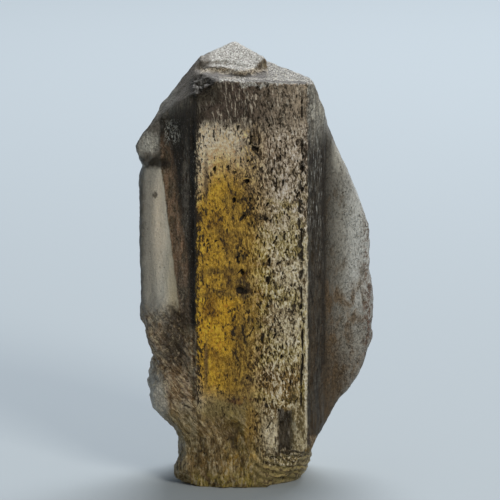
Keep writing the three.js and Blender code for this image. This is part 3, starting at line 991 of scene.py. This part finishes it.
# %% Lines on the breaks
above_bend = calculate("MAXIMUM", calculate("SUBTRACT", z, RIB_BEND), 0.0)
across_ribs = calculate("MULTIPLY_ADD", above_bend, RIB_SLOPE, x)
slanting = add_node(tree, "ShaderNodeCombineXYZ", {0: across_ribs, 1: y, 2: z})
rib_place = bent(slanting.outputs[0], (1.2, 1.2, 0.8), (1.0, 0.6, 0.6))
rib_tone = speckle(rib_place, (4.2, 2.0, 0.8), detail=4.0, roughness=0.7)
dark_ribs = fall(rib_tone, 0.4, 0.46)
pale_ribs = rise(rib_tone, 0.52, 0.6)
past_blow = calculate_vector("SUBTRACT", ragged, (BLOW[0], 0, BLOW[1]))
from_blow = calculate_vector("MULTIPLY", past_blow, (1, 0, FLATTENED))
blow_distance = calculate_vector("LENGTH", from_blow, output="Value")
shell_wave = calculate("SINE", calculate("MULTIPLY", blow_distance, 6.0))
shell_lines = rise(shell_wave, 0.1, 0.9)
report("lines on the breaks")

# %% The rough mass
mass_tone = speckle(ragged, (1.2, 1.2, 0.7), detail=4.0)
mass_colour = coated(
    EARTH,
    (TAUPE, rise(mass_tone, 0.4, 0.6)),
    (OLIVE, fall(z, 8, 11), 0.5),
    (SAND, pale_ribs, 0.85),
    (SMOKE, dark_ribs, 0.85),
)
on_mass = panel((-FAR, -4.5), (-FAR, 18.5), fringe=2.0)
under_wing = patch((-9.0, 17.2), (1.5, 3.2))
mass_pits = marks((3.4, 3.4, 2.4), 0.4)
bulge = patch((-11.3, 10.0), (1.4, 3.0))
lobe = patch((-11.2, 19.9), (1.5, 1.4))
side = coated(
    side,
    (mass_colour, on_mass, 0.9),
    (SMOKE, under_wing, mass_pits, 0.85),
    (SILVER, bulge, 0.75),
    (SILVER, lobe, rise(rib_tone, 0.42, 0.56), 0.3),
)
report("rough mass")

# %% The foot
foot_grains = speckle(ragged, (0.9, 0.9, 0.9), detail=4.0)
under_ledge = both(rise(x, -0.5, 1.5), fall(z, 3.9, 4.3))
foot_colour = coated(
    MOSS,
    (OLIVE, rise(foot_grains, 0.4, 0.58)),
    (OCHRE, rise(foot_grains, 0.52, 0.58), 0.75),
    (UMBER, fall(foot_grains, 0.38, 0.43), 0.5),
    (HONEY, rise(foot_grains, 0.6, 0.64), rise(x, -3, -1), 0.8),
    (EARTH, fall(x, -4.5, -2.5), 0.6),
    (LIGHT_OLIVE, fall(z, 0.8, 2.6), rise(foot_grains, 0.42, 0.52), 0.6),
    (SMOKE, dark_ribs, fall(x, 0, 2), 0.85),
    (SAND, pale_ribs, fall(x, 0, 2), 0.8),
    (layer(0.5, SAND, LIGHT_OLIVE), under_ledge, 0.7),
    (UMBER, under_ledge, shell_lines, on_front_half, 0.9),
)
on_foot = panel((-7.5, FAR), (-FAR, 4.6), fringe=1.5)
side = layer(both(on_foot, 0.95), side, foot_colour)
report("foot")

# %% [markdown]
# ## The front face
# This is the window of the crystal. It goes from a cream top left to a clear honey zone and to a frosted,
# pale right side. Stains, a smoky band under the top edge and thousands of etch marks lie over that.

# %% Ground colours of the front face
honey_zone = patch((-3.4, 23.5), (4.7, 14.4), fringe=0.2)
duller_middle = patch((-0.6, 24), (2.9, 14))
clear_window = panel((-6.6, -1.9), (9.0, 22.3), fringe=1.6, guide=ragged)
brown_veil = patch((-0.8, 13.5), (2.4, 5.5), fringe=0.5)
low_right = patch((3.4, 11.5), (3.2, 3.6), fringe=0.5)
front = coated(
    CREAM,
    (SAND, rise(x, -2.5, 3.0)),
    (ROSE_GREY, rise(z, 28, 38), rise(x, -2, 2), 0.65),
    (HONEY, honey_zone),
    (OCHRE, duller_middle, 0.75),
    (DEEP_HONEY, clear_window, rise(z, 10, 18)),
    (AMBER_BROWN, brown_veil, 0.75),
    (OCHRE, low_right, 0.85),
    (OLIVE, fall(ragged_z, 9, 12), fall(x, -1, 2), 0.85),
)
report("ground colours")

# %% Clouds, glimmers and the break below the front face
clouds = speckle(ragged, (0.45, 0.45, 0.35), detail=3.0)
front = layer(both(rise(clouds, 0.5, 0.7), 0.75), front, AMBER_BROWN, "MULTIPLY")
glimmers = speckle(ragged, (0.3, 0.3, 0.4))
glimmer_zone = both(rise(x, -1, 1), rise(z, 8, 12), fall(z, 33, 38))
front = coated(
    front,
    (LIGHT_OLIVE, rise(glimmers, 0.45, 0.6), glimmer_zone, 0.6),
    (foot_colour, fall(z, 7.0, 11.5), fall(x, 0, 3), 0.9),
    (foot_colour, fall(z, 3.6, 4.6)),
)
report("clouds and glimmers")

# %% Stains on the front face
# The colour, the middle across and up, the reach and the strength of each stain
STAINS = [
    (AMBER_BROWN, (-3.5, 25.3), (2.8, 0.5), 0.75),
    (AMBER_BROWN, (-3.6, 22.6), (2.8, 0.35), 0.8),
    (AMBER_BROWN, (2.2, 26.3), (2.4, 0.4), 0.6),
    (AMBER_BROWN, (-2.6, 29.5), (2.2, 0.6), 0.6),
    (AMBER_BROWN, (-1.6, 33.5), (2.0, 1.0), 0.5),
    (UMBER, (-1.2, 23.1), (0.8, 1.1), 0.95),
    (RUST, (-1.4, 10.4), (2.2, 0.25), 0.85),
    (UMBER, (-0.3, 12.9), (1.0, 0.6), 0.7),
    (UMBER, (2.4, 36.2), (2.2, 1.4), 0.35),
    (OCHRE, (-0.3, 7.2), (0.8, 2.4), 0.7),
    (UMBER, (-2.7, 6.8), (0.8, 1.3), 0.6),
    (SMOKE, (-2.2, 5.4), (0.5, 1.0), 0.6),
    (PALE, (1.8, 6.6), (0.9, 1.9), 0.4),
    (OLIVE, (-3.6, 9.3), (2.2, 1.0), 0.5),
]
for colour, at, reach, strength in STAINS:
    front = layer(both(patch(at, reach), strength), front, colour)
report("stains")

# %% Dark and pale etch marks of the front face
to_right = rise(x, -3.2, 1.5)
smooth_corner = patch((-4.9, 39.2), (1.9, 3.2), guide=neat)
front_tone = calculate("MULTIPLY_ADD", smooth_corner, 0.12, tone)
warm_marks = both(fall(front_tone, 0.34, 0.6), 0.52)
pale_marks = both(rise(front_tone, 0.5, 0.68), calculate("MULTIPLY_ADD", to_right, 0.55, 0.3))
broken_corner = both(fall(z, 9, 13), fall(x, -1, 2))
pale_marks = both(pale_marks, calculate("MULTIPLY_ADD", broken_corner, -0.75, 1.0))
clear_corner = patch((-4.4, 35.2), (1.5, 2.8), fringe=0.8)
clearness = calculate("MULTIPLY", fall(x, -3.0, 1.0), 0.18)
clearness = calculate("MULTIPLY_ADD", clear_corner, 0.07, clearness)
dark_marks = fall(calculate("ADD", front_tone, clearness), 0.3, 0.42)
front = layer(warm_marks, front, AMBER_BROWN, "MULTIPLY")
mark_colour = layer(rise(x, -1.2, 2.6), LIGHT_HONEY, layer(rise(z, 24, 36), PALE, FROST))
front = layer(both(pale_marks, 0.85), front, mark_colour)
front = layer(both(dark_marks, 0.72), front, layer(to_right, UMBER, SLATE))
report("etch marks")

# %% Two purple dashes and the dim right edge
PLUM_DASHES = [
    ((-5.35, 35.7), (0.22, 2.8)),
    ((-5.4, 14.6), (0.25, 2.8)),
]
for at, reach in PLUM_DASHES:
    front = layer(both(patch(at, reach, fringe=0.6, guide=neat), 0.75), front, PLUM)
dim_edge = both(rise(x, 5.0, 6.0), rise(z, 26, 33), fall(tone, 0.45, 0.6))
front = layer(both(dim_edge, 0.8), front, PLUM)
report("dashes and dim edge")

# %% Crowded pits
# The middle across and up, the reach and the level below which the tone turns into a pit
PIT_PATCHES = [
    ((-2.2, 17.5), (0.4, 4.0), 0.46),
    ((-0.8, 19.0), (0.4, 2.6), 0.46),
    ((-1.5, 27.5), (0.5, 1.5), 0.42),
    ((5.3, 30.0), (0.3, 10.5), 0.48),
    ((0.0, 39.4), (0.6, 1.2), 0.42),
    ((0.9, 30.5), (0.4, 1.6), 0.45),
    ((-0.7, 33.0), (0.6, 2.0), 0.42),
]
PIT_SOFTNESS = 0.08

pit_grains = etching((4.6, 4.6, 2.4), flake_contrast=0.3, guide=leaning)
for at, reach, level in PIT_PATCHES:
    pitting = both(patch(at, reach, fringe=0.5), fall(pit_grains, level, level + PIT_SOFTNESS))
    front = layer(both(pitting, 0.97), front, SOOT)
report("crowded pits")

# %% The ragged left edge and the bright ridge on the right edge
edge_tone = calculate("MULTIPLY_ADD", fall(x, -6.6, -5.4), -0.24, tone)
edge_grains = both(fall(edge_tone, 0.3, 0.36), rise(z, 7, 10))
front = layer(both(edge_grains, 0.95), front, SMOKE)
# The pale line on the ridge is partly wear and partly a painted highlight.
ridge = panel((5.85, 6.12), (7, 31), deep=(-FAR, FRONT_Y + 0.8), fringe=0.16)
ridge = both(ridge, fall(z, 24, 32), rise(fine_streaks, 0.35, 0.5), 0.75)
report("edges")

# %% The notch above the ledge
notch_guide = bent(neat, (1.2, 1.2, 0.8), (0.5, 0.5, 1.2))
notch = panel((2.75, 4.5), (4.5, 9.3), fringe=0.5, guide=notch_guide)
notch_colour = layer(rise(fine_streaks, 0.5, 0.7), SMOKE, GREY_BROWN)
beside_notch = panel((4.3, 6.2), (4.5, 12), fringe=0.8)
# A painted shadow under the ledge.
ledge_shade = patch((4.3, 4.3), (2.0, 0.16), guide=neat)
front = coated(front, (notch_colour, notch, 0.95), (OLIVE, beside_notch, 0.35), (SMOKE, ledge_shade, 0.85))
report("notch")

# %% The smoky band
BAND_START = 42.7
BAND_FULL = 44.0

band_height = calculate("MULTIPLY_ADD", fine_streaks, 2.5, z)
band_start = calculate("MULTIPLY_ADD", to_right, -1.0, BAND_START)
band = both(rise(band_height, band_start, BAND_FULL), 0.97)
hair_guide = bent(leaning, (2.0, 2.0, 1.0), (0.5, 0.5, 0.8))
hair_grain = speckle(hair_guide, (5.5, 5.5, 0.7), detail=1.0)
hair_crowding = speckle(ragged, (0.8, 0.8, 0.6))
# Painted shade beside the chipped corner.
shade_beside_chip = patch((-5.6, 45.9), (2.1, 1.3))
band_colour = coated(
    PLUM,
    (TAUPE, rise(x, -2.0, 5.0)),
    (SOOT, fall(tone, 0.36, 0.56), 0.8),
    (CREAM, rise(hair_grain, 0.52, 0.66), rise(hair_crowding, 0.38, 0.52), 0.6),
    # The band's left end is darkened with the same painted shade.
    (SOOT, fall(x, -6.2, -4.4), 0.75),
    (SOOT, shade_beside_chip, 0.9),
)
front = layer(band, front, band_colour)
report("smoky band")

# %% Dirt and painted shade in the hollows, and where the front face ends
front = layer(rise(hollow_share, 0.12, 0.45), front, SOOT)
front_width = (FRONT_LEFT, FRONT_RIGHT + 0.1)
front_skin = (-FAR, FRONT_Y + 1.2)
on_front_face = panel(front_width, (2.6, FRONT_TOP), front_skin, fringe=0.25, guide=wobbling)
top_edge = panel((-3.8, FRONT_RIGHT), (46.6, 47.0), deep=(-FAR, FRONT_Y + 0.8), fringe=0.25, guide=ragged)
report("front face")

# %% [markdown]
# ## One skin
# The front face is laid over the sides and the roof with a wobbling border. Dirt and painted shade go into
# the hollows and a little rubbed white onto the sharp edges. A last even grain is laid over everything,
# fainter on the smooth wing, the blade and the foot. Grain, streaks and marks also bend the light a little,
# and the grain varies the gloss.

# %% Put the colours together
colour = coated(
    side,
    (front, on_front_face),
    (PALE, ridge),
    (ASH, top_edge, rise(glitter, 0.42, 0.52), 0.8),
    # Dirt and painted shade in the hollows.
    (SOOT, rise(hollow_share, 0.15, 0.7), 0.8),
    (ASH, worn_share, 0.15),
)
grain_contrast = rise(grain, 0.3, 0.7)
smooth_blade = panel((8.4, FAR), (19, 44), fringe=1.0)
grain_share = calculate("MULTIPLY_ADD", on_wing, -0.5, 0.6)
grain_share = calculate("MULTIPLY_ADD", smooth_blade, -0.35, grain_share)
grain_share = calculate("MULTIPLY_ADD", fall(z, 8, 12), -0.25, grain_share)
colour = layer(grain_share, colour, grain_contrast, "OVERLAY")
tree.links.new(colour, shader.inputs["Base Color"])
report("colours")

# %% Gloss and bumps
BUMP_DEPTH = 0.14

rough = calculate("ADD", 0.3, calculate("MULTIPLY", grain, 0.35))
tree.links.new(rough, shader.inputs["Roughness"])
streak_height = calculate("MULTIPLY", fine_streaks, 0.8)
mark_height = calculate("MULTIPLY", dark_marks, -1.2)
grain_height = calculate("ADD", calculate("MULTIPLY", grain, 1.2), mark_height)
height = calculate("ADD", grain_height, streak_height)
bump = add_node(tree, "ShaderNodeBump", {"Height": height, "Strength": 0.9, "Distance": BUMP_DEPTH * mm})
tree.links.new(bump.outputs[0], shader.inputs["Normal"])
report("gloss and bumps")

# %% [markdown]
# ## The clear inside
# Barite has a refractive index of 1.64. The mineral takes a little red, more green and most of the blue out
# of the light that crosses it, which is what makes it honey-coloured where it is thick and grey where it is
# thin. Veils and frost stop part of the light, so less than half of it passes plainly through the skin.
# Etching dulls the surface, so its mirror share is turned down and tinted brown.

# %% Glass values and absorption
shader.inputs["IOR"].default_value = 1.64
shader.inputs["Transmission Weight"].default_value = 0.42
shader.inputs["Specular IOR Level"].default_value = 0.25
shader.inputs["Specular Tint"].default_value = (0.6, 0.52, 0.42, 1)
inside = add_node(tree, "ShaderNodeVolumeAbsorption")
inside.inputs["Color"].default_value = (0.9, 0.76, 0.2, 1)
inside.inputs["Density"].default_value = 90
tree.links.new(inside.outputs[0], tree.nodes["Material Output"].inputs["Volume"])
crystal.data.materials.append(stone)
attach(crystal, "root")
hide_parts(NODE)
report("glass")

# %% [markdown]
# ## The stage
# The crystal stands on a plain pale floor that fills the picture. The light comes mostly from behind and
# above, so that it shines through the clear mineral, and the side towards the viewer is softer.

# %% Floor
FLOOR_REACH = 1.5

bm = bmesh.new()
bmesh.ops.create_grid(bm, x_segments=1, y_segments=1, size=FLOOR_REACH)
floor_mesh = bpy.data.meshes.new("floor")
bm.to_mesh(floor_mesh)
bm.free()
floor = bpy.data.objects.new("floor", floor_mesh)
bpy.context.scene.collection.objects.link(floor)
floor_paint = bpy.data.materials.new("pale_floor")
floor_paint.use_nodes = True
floor_shader = floor_paint.node_tree.nodes["Principled BSDF"]
floor_shader.inputs["Base Color"].default_value = paint("949da4")
floor_shader.inputs["Roughness"].default_value = 0.9
floor_shader.inputs["Specular IOR Level"].default_value = 0.2
floor.data.materials.append(floor_paint)
print("the floor is", 2 * FLOOR_REACH, "m wide")

# %% World
SKY_STRENGTH = 0.28

world = bpy.data.worlds.new("studio")
world.use_nodes = True
sky = world.node_tree.nodes["Background"].inputs
sky["Color"].default_value = (0.8, 0.9, 1.0, 1)
sky["Strength"].default_value = SKY_STRENGTH
bpy.context.scene.world = world
bpy.context.scene.view_settings.view_transform = "Standard"
print("the sky's strength is", SKY_STRENGTH)

# %% Lights


def soft_light(name, spot, size, power, tint=(1, 1, 1)):
    """A square area light, with its spot and size in metres, that looks at the middle of the crystal."""
    data = bpy.data.lights.new(name, "AREA")
    data.size = size
    data.energy = power
    data.color = tint
    lamp = bpy.data.objects.new(name, data)
    bpy.context.scene.collection.objects.link(lamp)
    lamp.location = spot
    middle = Vector((0, 0, DESIGN_HEIGHT / 2 * mm))
    lamp.rotation_euler = (middle - Vector(spot)).to_track_quat("-Z", "Y").to_euler()
    print(name, "light:", power, "watts")


soft_light("window", spot=(0.14, 0.5, 0.7), size=0.6, power=11.4)
soft_light("fill", spot=(0.3, -0.5, 0.32), size=0.2, power=3.2, tint=(1, 0.92, 0.8))
